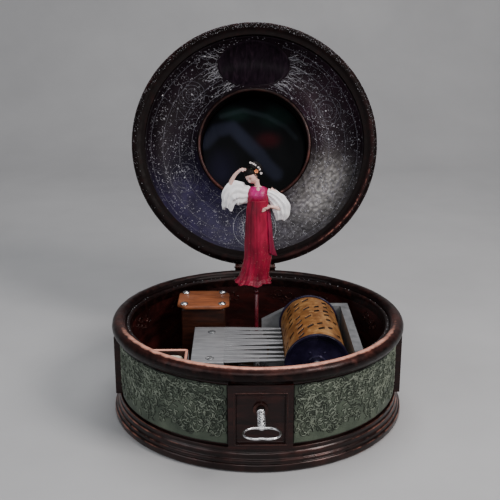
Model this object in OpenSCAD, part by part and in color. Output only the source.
// Cylinder music box: a round turned case with a domed, mirror-lined lid, a cylinder-and-comb
// movement wound by a front key, and a dancer that turns on a rod and folds down under the lid.
// Origin: centre of the base on the table. +Z up, the key at -Y, the lid hinge at +Y. Millimetres.

/* [Case] */
// outer radius of the rim, and of the plinth
case_r = 100; // [99.6:0.1:100.4]
// height of the case to the top of its rolled rim
case_h = 67.5; // [67.3:0.1:67.7]
// radius of the rolled tube along the top of the case
rim_tube_r = 5; // [4.8:0.1:5]
// inside radius of the round wall
bore_r = 88; // [88:0.1:88.4]
// height of the stepped base plinth
plinth_h = 15; // [14:0.5:15]
// width of the flat front panel and of the three pilasters
pilaster_w = 39; // [36:0.5:40]

/* [Lid] */
// angle of the lid from closed, as it rests against its stop
lid_open = 110; // [100:1:110]
// height of the dome's crown with the lid closed
dome_top = 115; // [114.8:0.1:116]
// outside radius of the well around the mirror
well_r = 46.6; // [46:0.1:46.6]

/* [Cylinder and comb] */
// radius of the brass cylinder
cyl_r = 20.6; // [20.2:0.1:20.6]
// length of the brass cylinder between its end flanges
cyl_len = 74; // [73:0.5:75]
// rows of slots around the cylinder
slot_rows = 18; // [12:1:20]
// slot stations along the cylinder
slot_stations = 10; // [6:1:10]
// number of teeth on the comb
comb_teeth = 10; // [8:1:16]
// length of the comb along the cylinder
comb_len = 64; // [60:1:64]

/* [Gears] */
// module of the great wheel, the intermediate wheel and both pinions
gear_module = 0.7; // [0.7:0.01:0.71]
// teeth on the great wheel
great_teeth = 40; // [40:1:40]
// teeth on the cylinder pinion
cyl_pinion_teeth = 20; // [20:1:20]
// teeth on the intermediate wheel
mid_teeth = 26; // [26:1:26]
// teeth on the layshaft pinion
lay_pinion_teeth = 10; // [10:1:10]
// teeth on the worm wheel
worm_teeth = 24; // [24:1:24]
// teeth on the crown wheel
crown_teeth = 24; // [24:1:24]
// teeth on the rod pinion
rod_teeth = 12; // [12:1:12]
// free play between meshing tooth flanks
backlash = 0.24; // [0.2:0.01:0.26]

/* [Key] */
// overall width of the key's ring
bow_w = 22; // [20:0.2:26]
// depth of the key's ring
bow_d = 14.6; // [12:0.2:17]
// thickness of the ring's wire
bow_wire = 1.6; // [1.4:0.1:2]

/* [Dancer] */
// distance of the dancer's rod behind the case centre
rod_y = 40; // [40:0.1:40.2]
// height of the pivot on which the dancer folds
fold_z = 68.2; // [68:0.1:68.3]
// radius of the dress at the hem
hem_r = 14.4; // [13.8:0.1:14.4]

/* [Hidden] */
$fn = 64;
gap = 0.05;
rim_z = case_h - rim_tube_r;
rim_c = case_r - rim_tube_r;
hinge_y = case_r + 1.5;
hinge_z = case_h + 0.3;
lid_z = case_h + 0.4;
lid_tube_r = 4;
flat_y = case_r - 2.6;
wall_r = 94;
wall_top = 57;
floor_z = 8;
floor_top = 11.5;
cyl_x = 38.5;
cyl_z = 44;
key_z = 41;
flange_r = cyl_r + 1.2;
dome_low = 77;
dome_base_r = case_r - 1.5;
dome_rise = dome_top - dome_low;
dome_sphere_r = (dome_base_r * dome_base_r + dome_rise * dome_rise) / (2 * dome_rise);
dome_sphere_z = dome_top - dome_sphere_r;
dome_t = 2.5;
dish_c = 66.96;
dish_z = 67.3;
dish_r = 24;
dish_t = 1.4;
comb_top = 46;
comb_y0 = -38;
comb_x0 = -45;
comb_root_x = -21;
comb_tip_x = cyl_x - cyl_r - 0.5;
train_y0 = -59;
train_y1 = -55;
wheel_y0 = -65;
wheel_y1 = -62;
arbor_r = 2.5;
lay_r = 1.8;
rod_r = 1.4;
pressure_angle = 25;
addendum = 0.72;
dedendum = 1.15;
great_r = great_teeth * gear_module / 2;
mid_r = mid_teeth * gear_module / 2;
cyl_pinion_r = cyl_pinion_teeth * gear_module / 2;
lay_pinion_r = lay_pinion_teeth * gear_module / 2;
lay_z = key_z - great_r - lay_pinion_r;
axes_d = norm([cyl_x, cyl_z - key_z]);
axes_a = atan2(cyl_z - key_z, cyl_x);
mid_d1 = great_r + mid_r;
mid_d2 = mid_r + cyl_pinion_r;
mid_turn = acos((mid_d1 * mid_d1 + axes_d * axes_d - mid_d2 * mid_d2) / (2 * mid_d1 * axes_d));
mid_a = axes_a - mid_turn;
mid_x = mid_d1 * cos(mid_a);
mid_z = key_z + mid_d1 * sin(mid_a);
mid_to_cyl_a = atan2(cyl_z - mid_z, cyl_x - mid_x);
worm_module = 0.75;
worm_wheel_r = worm_teeth * worm_module / 2;
worm_r = 2.6;
worm_depth = 0.8;
worm_x = -(worm_wheel_r + worm_r);
worm_y = -20;
crown_module = 0.7;
crown_r = crown_teeth * crown_module / 2;
rod_pinion_r = rod_teeth * crown_module / 2;
crown_pitch_y = rod_y - rod_pinion_r;
crown_face_y = crown_pitch_y - 0.9;
ratchet_teeth = 12;
ratchet_r = 6.5;
ratchet_root = 4.9;
click_x = -11.5;
click_z = key_z + 7.6;

copper = [0.42, 0.16, 0.11];
mahogany = [0.22, 0.07, 0.05];
verdigris = [0.30, 0.36, 0.30];
steel = [0.62, 0.63, 0.65];
iron = [0.42, 0.43, 0.45];
brass = [0.72, 0.50, 0.22];
violet = [0.10, 0.08, 0.17];
crimson = [0.62, 0.05, 0.12];
satin = [0.72, 0.08, 0.30];
cream = [0.86, 0.82, 0.70];
cloth = [0.92, 0.92, 0.94];
skin = [0.86, 0.62, 0.52];
bark = [0.36, 0.17, 0.08];
ebony = [0.05, 0.04, 0.05];

// ---- helpers ----

// runs a flat outline drawn in X and Z along Y from y0 to y1
module along_y(y0, y1) {
    translate([0, y1, 0])
        rotate([90, 0, 0])
            linear_extrude(y1 - y0)
                children();
}

// a round bar along Y
module bar_y(x, z, r, y0, y1) {
    translate([x, y1, z])
        rotate([90, 0, 0])
            cylinder(r = r, h = y1 - y0);
}

// a flat ring about the case axis
module ring(r0, r1, z0, z1) {
    translate([0, 0, z0])
        difference() {
            cylinder(r = r1, h = z1 - z0);
            translate([0, 0, -1])
                cylinder(r = r0, h = z1 - z0 + 2);
        }
}

// a block between two corners
module block(low, high) {
    translate(low)
        cube(high - low);
}

// carries a part drawn with the lid closed to where the open lid rests
module open_lid() {
    translate([0, hinge_y, hinge_z])
        rotate([-lid_open, 0, 0])
            translate([0, -hinge_y, -hinge_z])
                children();
}

function polar(r, a) = [r * cos(a), r * sin(a)];
function involute(a) = tan(a) * 180 / PI - a;
function roll(base_r, r) = r <= base_r ? 0 : involute(acos(base_r / r));
// half the angle a tooth spans at radius r
function half_tooth(m, n, r) =
    90 / n - backlash / 2 / (m * n / 2) * 180 / PI + involute(pressure_angle)
    - roll(m * n / 2 * cos(pressure_angle), r);
function tooth_radii(m, n) = [m * n / 2 - dedendum * m, m * n / 2 - 0.45 * m, m * n / 2 + 0.1 * m,
    m * n / 2 + addendum * m];
function gear_points(m, n, a0) = [for (i = [0 : n - 1]) each concat(
    [for (r = tooth_radii(m, n)) polar(r, a0 + i * 360 / n - half_tooth(m, n, r))],
    [for (k = [3 : -1 : 0]) polar(tooth_radii(m, n)[k], a0 + i * 360 / n + half_tooth(m, n, tooth_radii(m, n)[k]))])];
// angle of the second wheel's first tooth, so that it meshes with the first across direction phi
function mesh(phi, n1, a1, n2) = phi + 180 - (0.5 - (phi - a1) * n1 / 360) * 360 / n2;

great_a = mid_a;
mid_tooth_a = mesh(mid_a, great_teeth, great_a, mid_teeth);
cyl_pinion_a = mesh(mid_to_cyl_a, mid_teeth, mid_tooth_a, cyl_pinion_teeth);
lay_pinion_a = mesh(-90, great_teeth, great_a, lay_pinion_teeth);

// a spur wheel about an axis along Y
module wheel_y(x, z, m, n, a0, y0, y1) {
    translate([x, 0, z])
        along_y(y0, y1)
            polygon(gear_points(m, n, a0));
}

// ---- case ----

module base_plinth() {
    color(mahogany)
        rotate_extrude()
            polygon([[bore_r - 2, 0], [case_r - 1.5, 0], [case_r, 1.5], [case_r, 5], [case_r - 1.4, 6.2],
                [case_r - 1.4, 8], [case_r - 2.8, 9], [case_r - 2.8, 11.5], [case_r - 3.8, 12.6],
                [case_r - 3.8, plinth_h], [bore_r - 2, plinth_h]]);
}

module bottom_board() {
    color(bark)
        translate([0, 0, 3])
            cylinder(r = bore_r - 2 - gap, h = floor_z - 3);
}

module case_wall() {
    color(mahogany)
        difference() {
            ring(bore_r, wall_r, plinth_h + gap, wall_top);
            bar_y(0, key_z, 3.7, -case_r, -80);
        }
}

module top_rim() {
    color(copper)
        rotate_extrude()
            union() {
                translate([rim_c, rim_z])
                    circle(r = rim_tube_r);
                polygon([[bore_r - 1, wall_top + gap], [case_r - 2.4, wall_top + gap], [case_r - 2.4, rim_z],
                    [bore_r + 3, rim_z + 2], [bore_r + 3, rim_z + 1], [bore_r - 1, rim_z + 1]]);
            }
}

// one embossed quarter between two pilasters, with a beaded frame
module relief(turn) {
    panel_a = asin((pilaster_w / 2 + 0.3) / wall_r);
    z0 = plinth_h + 1.5;
    z1 = wall_top - 2;
    color(verdigris)
        rotate([0, 0, turn + panel_a])
            union() {
                rotate_extrude(angle = 90 - 2 * panel_a)
                    polygon([[wall_r + gap, z0], [case_r - 3, z0], [case_r - 3, z0 + 2.2], [case_r - 4.2, z0 + 2.6],
                        [case_r - 4.2, z1 - 2.6], [case_r - 3, z1 - 2.2], [case_r - 3, z1], [wall_r + gap, z1]]);
                for (i = [0 : 4])
                    rotate([0, 0, (90 - 2 * panel_a) * (i + 0.5) / 5])
                        translate([case_r - 5, 0, (z0 + z1) / 2])
                            rotate([0, 90, 0])
                                difference() {
                                    cylinder(r = 9, h = 1.8);
                                    translate([0, 0, 1])
                                        cylinder(r = 7.4, h = 2);
                                }
            }
}

// a flat-faced post standing on the plinth against the round wall
module pilaster(turn) {
    color(mahogany)
        rotate([0, 0, turn])
            difference() {
                block([-pilaster_w / 2, -flat_y, plinth_h + gap], [pilaster_w / 2, -70, wall_top]);
                translate([0, 0, plinth_h - 1])
                    cylinder(r = wall_r + 0.3, h = wall_top);
            }
}

module key_panel() {
    color(mahogany)
        difference() {
            pilaster(0);
            block([-15, -case_r - 1, 18.5], [15, -flat_y + 1.5, 51]);
            bar_y(0, key_z, 3.7, -case_r, -80);
        }
}

module key_bush() {
    color(brass)
        difference() {
            union() {
                bar_y(0, key_z, 4.6, -flat_y + 0.2, -flat_y + 1.45);
                bar_y(0, key_z, 3.65, -flat_y + 0.2, -86);
            }
            bar_y(0, key_z, arbor_r + 0.06, -case_r, -80);
        }
}

// ---- movement ----

module cradle() {
    color(iron)
        difference() {
            union() {
                translate([0, 0, floor_z + gap])
                    linear_extrude(floor_top - floor_z - gap)
                        polygon([[-46, -50], [-20, -62], [55, -62], [68.5, -50], [68.5, 51], [-16, 51], [-16, 27],
                            [-46, 27]]);
                block([62.5, -42, floor_top - 0.5], [68.5, 51, 55]);
                along_y(45, 51)
                    polygon([[4, floor_top - 0.5], [68.5, floor_top - 0.5], [68.5, 55], [27, 55], [4, 43]]);
            }
            bar_y(cyl_x, cyl_z, arbor_r + 0.06, 40, 60);
            translate([0, rod_y, 9.2])
                cylinder(r = rod_r + 0.06, h = 5);
            translate([worm_x, worm_y, 9.2])
                cylinder(r = 1.26, h = 5);
        }
}

module train_plate() {
    color(steel)
        union() {
            difference() {
                along_y(train_y0, train_y1)
                    polygon([[-16, floor_top + gap], [48, floor_top + gap], [48, 47], [44, 50.5], [-12, 50.5],
                        [-16, 46]]);
                bar_y(0, key_z, arbor_r + 0.06, -70, -50);
                bar_y(0, lay_z, lay_r + 0.06, -70, -50);
                bar_y(cyl_x, cyl_z, arbor_r + 0.06, -70, -50);
            }
            bar_y(mid_x, mid_z, 1.5, -66.5, train_y0 + 1);
            bar_y(click_x, click_z, 1.2, train_y1 - 1, -50.8);
        }
}

module comb_base() {
    color(iron)
        block([comb_x0 + 1, comb_y0 + 1, floor_top + gap], [-23, comb_y0 + comb_len - 1, 43 - gap]);
}

// outline of the comb: a plate whose free side is cut into tapered teeth
function comb_points() = concat(
    [[comb_root_x, comb_y0], [comb_x0, comb_y0], [comb_x0, comb_y0 + comb_len],
        [comb_root_x, comb_y0 + comb_len]],
    [for (i = [comb_teeth - 1 : -1 : 0]) each [
        [comb_root_x, comb_y0 + comb_len * (i + 0.97) / comb_teeth],
        [comb_tip_x, comb_y0 + comb_len * (i + 0.70) / comb_teeth],
        [comb_tip_x, comb_y0 + comb_len * (i + 0.30) / comb_teeth],
        [comb_root_x, comb_y0 + comb_len * (i + 0.03) / comb_teeth]]]);

module comb() {
    color(steel)
        difference() {
            union() {
                translate([0, 0, comb_top - 1.6])
                    linear_extrude(1.6)
                        polygon(comb_points());
                block([comb_x0, comb_y0, 43], [-23, comb_y0 + comb_len, comb_top]);
            }
            for (y = [comb_y0 + 6.5, comb_y0 + comb_len - 10.5])
                translate([-32.3, y, 40])
                    cylinder(r = 2.1, h = 10);
        }
}

// a slotted cheese-head screw in the comb
module slotted_screw() {
    difference() {
        union() {
            cylinder(r = 3.4, h = 1.5);
            translate([0, 0, -2.9])
                cylinder(r = 2, h = 3);
        }
        block([-4, -0.45, 0.7], [4, 0.45, 3]);
    }
}

module comb_screws() {
    color(steel)
        for (y = [comb_y0 + 6.5, comb_y0 + comb_len - 10.5])
            translate([-32.3, y, comb_top + gap])
                rotate([0, 0, y * 3])
                    slotted_screw();
}

module block_body() {
    color(bark)
        block([-55, 31, floor_z + gap], [-23, 60.5, 58.4 - gap]);
}

module block_plate() {
    color([0.42, 0.20, 0.09])
        translate([0, 0, 58.4])
            linear_extrude(2.6)
                polygon([[-52, 28], [-26, 28], [-20, 34], [-20, 57.5], [-26, 63.5], [-52, 63.5], [-58, 57.5],
                    [-58, 34]]);
}

// domed screw heads near the plate's corners
module block_screws() {
    color([0.80, 0.80, 0.82])
        for (x = [-52.8, -25.2])
            for (y = [33.2, 58.3])
                translate([x, y, 61 + gap])
                    intersection() {
                        translate([0, 0, -1.6])
                            sphere(r = 3.2);
                        cylinder(r = 4, h = 4);
                    }
}

module tray() {
    color(copper)
        intersection() {
            cylinder(r = bore_r - gap, h = 100);
            union() {
                block([-90, -80, 46], [-45.5, -42.5, 48]);
                block([-90, -45, 46], [-45.5, -42.5, 57]);
                block([-48, -80, 46], [-45.5, -42.5, 57]);
            }
        }
}

module tray_pad() {
    color(cream)
        intersection() {
            cylinder(r = bore_r - 0.6, h = 100);
            block([-90, -80, 48.1], [-48.4, -45.4, 56]);
        }
}

module rod_bracket() {
    color(iron)
        difference() {
            union() {
                block([-7, 20, floor_top + gap], [7, 24, 38]);
                block([-4.5, 23, 35.5], [4.5, 44, 38]);
            }
            bar_y(0, lay_z, lay_r + 0.06, 10, 30);
            translate([0, rod_y, 30])
                cylinder(r = rod_r + 0.06, h = 10);
        }
}

module governor_bridge() {
    color(brass)
        difference() {
            block([-23 + gap, worm_y - 3, 41], [-8.6, worm_y + 3, 42.7]);
            translate([worm_x, worm_y, 38])
                cylinder(r = 1.26, h = 8);
        }
}

module cylinder_sleeve() {
    slot_pitch = cyl_len / (slot_stations + 1);
    color(brass)
        difference() {
            bar_y(cyl_x, cyl_z, cyl_r, -cyl_len / 2, cyl_len / 2);
            bar_y(cyl_x, cyl_z, cyl_r - 2, -cyl_len, cyl_len);
            for (i = [0 : slot_rows - 1])
                for (k = [1 : slot_stations])
                    if ((i * 5 + k * 7) % 3 != 0)
                        translate([cyl_x, -cyl_len / 2 + k * slot_pitch, cyl_z])
                            rotate([0, (i + (k % 2) / 2) * 360 / slot_rows, 0])
                                block([cyl_r - 0.9, -1.9, -0.9], [cyl_r + 1, 1.9, 0.9]);
        }
}

// an end flange: a raised ring around a recessed disc with a hub
module flange(y0, y1, face_y0, face_y1) {
    color(violet)
        difference() {
            union() {
                difference() {
                    bar_y(cyl_x, cyl_z, flange_r, y0, y1);
                    bar_y(cyl_x, cyl_z, flange_r - 2.2, y0 - 1, y1 + 1);
                }
                bar_y(cyl_x, cyl_z, flange_r - 2, face_y0, face_y1);
            }
            bar_y(cyl_x, cyl_z, arbor_r + gap, -60, 60);
        }
}

module front_flange() {
    flange(-cyl_len / 2 - 2.5, -cyl_len / 2 - gap, -cyl_len / 2 - 1.9, -cyl_len / 2 - 0.3);
}

module rear_flange() {
    flange(cyl_len / 2 + gap, cyl_len / 2 + 2.5, cyl_len / 2 + 0.3, cyl_len / 2 + 1.9);
}

module cylinder_arbor() {
    color(steel)
        union() {
            bar_y(cyl_x, cyl_z, arbor_r, -66.4, 50.5);
            wheel_y(cyl_x, cyl_z, gear_module, cyl_pinion_teeth, cyl_pinion_a, wheel_y0 - 0.4, wheel_y1 + 0.4);
        }
}

module mid_wheel() {
    color(brass)
        difference() {
            union() {
                wheel_y(mid_x, mid_z, gear_module, mid_teeth, mid_tooth_a, wheel_y0, wheel_y1);
                bar_y(mid_x, mid_z, 3.2, wheel_y0 - 0.8, -59.5);
            }
            bar_y(mid_x, mid_z, 1.56, -70, -50);
        }
}

module barrel_drum() {
    color(brass)
        difference() {
            bar_y(0, key_z, 13.2, -82.5, wheel_y0 - gap);
            bar_y(0, key_z, 12, -81, -60);
            bar_y(0, key_z, arbor_r + 0.06, -90, -60);
        }
}

module great_wheel() {
    color(brass)
        difference() {
            union() {
                wheel_y(0, key_z, gear_module, great_teeth, great_a, wheel_y0, wheel_y1);
                bar_y(0, key_z, 5, wheel_y1 - 0.5, -59.5);
            }
            bar_y(0, key_z, arbor_r + 0.06, -90, -50);
        }
}

// the coiled spring, wound from near the arbor out to the drum
module mainspring() {
    turns = 5;
    steps = 20;
    r_in = 4.6;
    r_out = 11;
    strip = 0.4;
    last = turns * steps;
    color(steel)
        translate([0, 0, key_z])
            along_y(-80, -66)
                polygon(concat(
                    [for (i = [0 : last]) polar(r_in + (r_out - r_in) * i / last + strip, i * 360 / steps)],
                    [for (i = [last : -1 : 0]) polar(r_in + (r_out - r_in) * i / last, i * 360 / steps)]));
}

module winding_arbor() {
    color(steel)
        union() {
            bar_y(0, key_z, arbor_r, -98, -50.9);
            bar_y(0, key_z, 3.6, -80, -66);
            block([-0.8, -107, key_z - 0.8], [0.8, -97, key_z + 0.8]);
        }
}

module ratchet_wheel() {
    step = 360 / ratchet_teeth;
    color(steel)
        difference() {
            translate([0, 0, key_z])
                along_y(-54, -51.5)
                    polygon([for (i = [0 : ratchet_teeth - 1]) each [polar(ratchet_r, 88 + i * step),
                        polar(ratchet_root, 88.5 + i * step)]]);
            bar_y(0, key_z, arbor_r + gap, -60, -40);
        }
}

module click() {
    color(steel)
        difference() {
            union() {
                translate([0, 0, key_z])
                    along_y(-54.4, -51.6)
                        polygon([[-0.1, 5.3], [-3.3, 6.25], [-10, 5.9], [-10, 9.6], [-0.1, 7.8]]);
                bar_y(click_x, click_z, 2.5, -54.4, -51.6);
            }
            bar_y(click_x, click_z, 1.25, -60, -50);
        }
}

module winding_key() {
    ring_y = -119 - bow_d / 2;
    end_r = (bow_d - bow_wire) / 2;
    end_x = bow_w / 2 - bow_wire / 2 - end_r;
    color([0.70, 0.70, 0.72])
        union() {
            difference() {
                union() {
                    bar_y(0, key_z, 1.75, -120, -98.4);
                    bar_y(0, key_z, 2.5, -101.2, -99.4);
                    bar_y(0, key_z, 2.4, -104, -102.4);
                    bar_y(0, key_z, 2, -120, -117.6);
                }
                block([-0.85, -107.5, key_z - 0.85], [0.85, -90, key_z + 0.85]);
            }
            for (s = [-1, 1])
                translate([s * end_x, ring_y, key_z])
                    rotate([0, 0, s > 0 ? -90 : 90])
                        rotate_extrude(angle = 180)
                            translate([end_r, 0])
                                circle(r = bow_wire / 2);
            for (s = [-1, 1])
                translate([-end_x, ring_y + s * end_r, key_z])
                    rotate([0, 90, 0])
                        cylinder(r = bow_wire / 2, h = 2 * end_x);
        }
}

// ---- layshaft, governor and the dancer's rod ----

module layshaft() {
    color(steel)
        union() {
            bar_y(0, lay_z, lay_r, -66.4, crown_face_y - 0.1);
            wheel_y(0, lay_z, gear_module, lay_pinion_teeth, lay_pinion_a, wheel_y0 - 0.4, wheel_y1 + 0.4);
        }
}

module worm_wheel() {
    color(brass)
        difference() {
            translate([0, 0, lay_z])
                along_y(worm_y - 1.25, worm_y + 1.25)
                    polygon([for (i = [0 : worm_teeth - 1]) each [
                        polar(worm_wheel_r - 0.85, i * 360 / worm_teeth - 3.6),
                        polar(worm_wheel_r + 0.45, i * 360 / worm_teeth - 1.5),
                        polar(worm_wheel_r + 0.45, i * 360 / worm_teeth + 1.5),
                        polar(worm_wheel_r - 0.85, i * 360 / worm_teeth + 3.6)]]);
            bar_y(0, lay_z, lay_r + gap, -60, 60);
        }
}

module crown_wheel() {
    color(brass)
        difference() {
            union() {
                bar_y(0, lay_z, crown_r + 1.2, crown_face_y - 2.4, crown_face_y);
                bar_y(0, lay_z, 4, crown_face_y - 6, crown_face_y - 2);
                for (i = [0 : crown_teeth - 1])
                    translate([0, 0, lay_z])
                        rotate([0, i * 360 / crown_teeth, 0])
                            translate([0, crown_face_y - 0.2, crown_r - 1.2])
                                linear_extrude(2.4)
                                    polygon([[-0.46, 0], [0.46, 0], [0.34, 1.6], [-0.34, 1.6]]);
            }
            bar_y(0, lay_z, lay_r + gap, 0, 60);
        }
}

// a shaft with a worm cut as one round thread winding up it
module governor_worm() {
    lead = PI * worm_module;
    turns = 5;
    color(steel)
        translate([worm_x, worm_y, 0])
            union() {
                translate([0, 0, 9.5])
                    cylinder(r = 1.2, h = 32.9);
                translate([0, 0, lay_z - turns * lead / 2])
                    linear_extrude(turns * lead, twist = 360 * turns, slices = 10 * turns)
                        translate([worm_depth, 0])
                            circle(r = worm_r, $fn = 12);
            }
}

module air_fan() {
    color(brass)
        translate([worm_x, worm_y, 33.6])
            difference() {
                union() {
                    cylinder(r = 2.2, h = 7);
                    block([-8.4, -0.4, 0.3], [8.4, 0.4, 6.7]);
                }
                translate([0, 0, -1])
                    cylinder(r = 1.2 + gap, h = 10);
            }
}

module dancer_rod() {
    color(crimson)
        translate([0, rod_y, 0])
            union() {
                translate([0, 0, 9.4])
                    cylinder(r = rod_r, h = fold_z - 2 - 9.4);
                translate([0, 0, lay_z + crown_r - 1.6])
                    linear_extrude(3.6)
                        polygon(gear_points(crown_module, rod_teeth, -90 + 180 / rod_teeth));
            }
}

// ---- dancer ----

module at_rod() {
    translate([0, rod_y, 0])
        children();
}

module dancer_spring() {
    color(crimson)
        at_rod()
            union() {
                translate([0, 0, fold_z])
                    sphere(r = 1.7);
                translate([0, 0, fold_z])
                    cylinder(r = 1.15, h = 7.6);
                for (i = [0 : 6])
                    translate([0, 0, fold_z + 1.6 + i * 0.95])
                        rotate_extrude()
                            translate([1.2, 0])
                                circle(r = 0.42);
                translate([0, 0, fold_z + 7])
                    cylinder(r = 0.8, h = 7);
            }
}

module dress() {
    z0 = fold_z + 7.5;
    color(crimson)
        at_rod()
            difference() {
                rotate_extrude()
                    polygon([[0, z0], [hem_r, z0], [hem_r - 0.6, z0 + 2], [12, z0 + 6], [11, z0 + 12],
                        [10.4, z0 + 26], [9.8, z0 + 40], [9, z0 + 52], [8.2, z0 + 62], [0, z0 + 62]]);
                translate([0, 0, z0 - 1])
                    cylinder(r = 9, h = 2.6);
                translate([0, 0, z0])
                    cylinder(r = 0.85, h = 7.2);
            }
}

module bodice() {
    z0 = fold_z + 69.5 + gap;
    color(satin)
        at_rod()
            translate([0.6, 0, 0])
                rotate_extrude()
                    polygon([[0, z0], [8, z0], [7.9, z0 + 3], [7.2, z0 + 6.5], [5, z0 + 9.3], [0, z0 + 9.3]]);
}

module skull() {
    translate([-2.9, 0, fold_z + 87])
        sphere(r = 5.1);
    translate([-3.4, -0.9, fold_z + 84.6])
        sphere(r = 3.9);
}

module head() {
    color(skin)
        at_rod()
            union() {
                skull();
                translate([0, 0, fold_z + 78.8 + 2 * gap])
                    rotate([0, -18, 0])
                        translate([0, 0, 0.8])
                            cylinder(r = 2, h = 5);
            }
}

module hair() {
    color(ebony)
        at_rod()
            difference() {
                union() {
                    intersection() {
                        translate([-2.7, 0.9, fold_z + 87.9])
                            sphere(r = 5.4);
                        block([-12, -2.4, fold_z + 84.5], [8, 9, fold_z + 98]);
                    }
                    translate([0.6, 2.2, fold_z + 92.2])
                        sphere(r = 4.2);
                }
                translate([-2.9, 0, fold_z + 87])
                    sphere(r = 5.1 + gap);
                translate([-3.4, -0.9, fold_z + 84.6])
                    sphere(r = 3.9 + gap);
            }
}

// small discs standing for blossoms around the hair
module flowers() {
    color(cloth)
        at_rod()
            for (p = [[-8.7, 1.2, 92.3], [-3.2, -4.2, 94.4], [0.3, -4, 93.6], [3.4, -3.6, 90.6]])
                translate([p[0], p[1], fold_z + p[2]])
                    rotate([90, 0, 0])
                        cylinder(r = 1.5, h = 0.9);
}

// a forearm between two points, with a round elbow and a round hand
module forearm(a, b, r, elbow_r, hand_r) {
    d = b - a;
    l = norm(d);
    translate(a)
        rotate([0, acos(d[2] / l), atan2(d[1], d[0])])
            union() {
                sphere(r = elbow_r);
                cylinder(r = r, h = l);
                translate([0, 0, l])
                    sphere(r = hand_r);
            }
}

elbow_up = [-19.6, -0.5, 82];
hand_up = [-7.6, -4.2, 92];
elbow_low = [16.5, -7.6, 64.6];
hand_low = [4, -9.4, 63.4];

module raised_arm() {
    color(skin)
        at_rod()
            translate([0, 0, fold_z])
                forearm(elbow_up, hand_up, 1.2, 1.7, 1.5);
}

module waist_arm() {
    color(skin)
        at_rod()
            translate([0, 0, fold_z])
                forearm(elbow_low, hand_low, 1.1, 1.5, 1.4);
}

// a ball on the way down a sleeve
module puff(x, z, r) {
    translate([x, 0, z])
        sphere(r = r, $fn = 20);
}

// the two white puffed sleeves, each falling from its shoulder
module sleeves() {
    color(cloth)
        at_rod()
            translate([0, 0, fold_z]) {
                hull() {
                    puff(-10.2, 76.8, 2.9);
                    puff(-16.4, 77.2, 3);
                    puff(-18.6, 68, 4.4);
                    puff(-20.8, 62.6, 3);
                }
                hull() {
                    puff(11.8, 76.4, 3);
                    puff(18.4, 68, 4.8);
                    puff(18.6, 58, 4.4);
                }
            }
}

// ---- lid ----

module lid_rim() {
    color(copper)
        open_lid()
            rotate_extrude()
                union() {
                    translate([case_r - lid_tube_r, lid_z + lid_tube_r])
                        circle(r = lid_tube_r);
                    polygon([[89, lid_z + 1.6], [case_r - 4, lid_z + 1.6], [case_r - 1.5, lid_z + lid_tube_r],
                        [case_r - 1.5, dome_low], [91, dome_low], [91, 74], [89, 74]]);
                }
}

module lid_shell() {
    color(mahogany)
        open_lid()
            intersection() {
                difference() {
                    translate([0, 0, dome_sphere_z])
                        sphere(r = dome_sphere_r, $fn = 128);
                    translate([0, 0, dome_sphere_z])
                        sphere(r = dome_sphere_r - dome_t, $fn = 128);
                }
                translate([0, 0, dome_low + gap])
                    cylinder(r = case_r, h = 60);
            }
}

// the dished annular lining between the rim and the mirror well
module lid_lining() {
    color(violet)
        open_lid()
            rotate_extrude()
                intersection() {
                    difference() {
                        translate([dish_c, dish_z])
                            circle(r = dish_r);
                        translate([dish_c, dish_z])
                            circle(r = dish_r - dish_t);
                    }
                    translate([well_r + 0.5, 74 + gap])
                        square([60, 40]);
                }
}

module mirror_bezel() {
    color(copper)
        open_lid()
            rotate_extrude()
                union() {
                    translate([well_r - 1.3, 78.5])
                        circle(r = 1.7);
                    translate([well_r - 2.6, 78.5])
                        square([2.6, 22]);
                }
}

module mirror() {
    color([0.05, 0.05, 0.08])
        open_lid()
            translate([0, 0, 97.5])
                cylinder(r = well_r - 2.6 - gap, h = 2);
}

// ---- hinge ----

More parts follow.
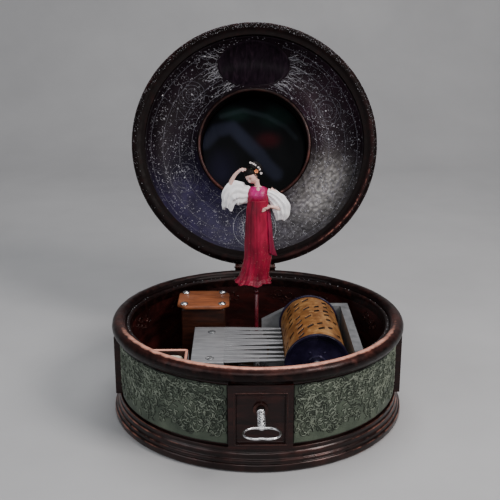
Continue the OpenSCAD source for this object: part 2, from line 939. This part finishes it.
module hinge_leaf_case() {
    color(brass)
        difference() {
            union() {
                for (s = [-1, 1])
                    translate([s > 0 ? 5.3 : -16, hinge_y, hinge_z])
                        rotate([0, 90, 0])
                            cylinder(r = 2.4, h = 10.7);
                for (s = [-1, 1])
                    block([s > 0 ? 5.3 : -16, hinge_y - 1.2, 55], [s > 0 ? 16 : -5.3, hinge_y + 0.4, hinge_z]);
                block([-16, hinge_y - 1.2, 44], [16, hinge_y + 0.4, hinge_z - 3.2]);
                block([-16, flat_y + gap, 44], [16, hinge_y - 1, 54]);
            }
            translate([-20, hinge_y, hinge_z])
                rotate([0, 90, 0])
                    cylinder(r = 1 + 0.02, h = 40);
        }
}

module hinge_pin() {
    color(steel)
        translate([-16.8, hinge_y, hinge_z])
            rotate([0, 90, 0])
                cylinder(r = 1, h = 33.6);
}

module hinge_leaf_lid() {
    color(brass)
        open_lid()
            difference() {
                union() {
                    translate([-5, hinge_y, hinge_z])
                        rotate([0, 90, 0])
                            cylinder(r = 2.4, h = 10);
                    block([-5, hinge_y - 1.2, hinge_z], [5, hinge_y + 0.4, 80]);
                    block([-16, hinge_y - 1.2, hinge_z + 3.2], [16, hinge_y + 0.4, 86]);
                    block([-16, 88, 79], [16, hinge_y - 1, 86]);
                }
                translate([-20, hinge_y, hinge_z])
                    rotate([0, 90, 0])
                        cylinder(r = 1.06, h = 40);
                translate([0, 0, dome_sphere_z])
                    sphere(r = dome_sphere_r + gap, $fn = 128);
            }
}

base_plinth();
bottom_board();
case_wall();
top_rim();
relief(180);  // relief_front_left
relief(270);  // relief_front_right
relief(90);  // relief_back_left
relief(0);  // relief_back_right
pilaster(-90);  // pilaster_left
pilaster(90);  // pilaster_right
pilaster(180);  // pilaster_back
key_panel();
key_bush();
cradle();
train_plate();
comb_base();
comb();
comb_screws();
block_body();
block_plate();
block_screws();
tray();
tray_pad();
rod_bracket();
governor_bridge();
hinge_leaf_case();
hinge_pin();
hinge_leaf_lid();
lid_rim();
lid_shell();
lid_lining();
mirror_bezel();
mirror();
cylinder_sleeve();
front_flange();
rear_flange();
cylinder_arbor();
mid_wheel();
barrel_drum();
great_wheel();
mainspring();
winding_key();
winding_arbor();
ratchet_wheel();
click();
layshaft();
worm_wheel();
crown_wheel();
governor_worm();
air_fan();
dancer_rod();
dancer_spring();
dress();
bodice();
head();
hair();
flowers();
raised_arm();
waist_arm();
sleeves();
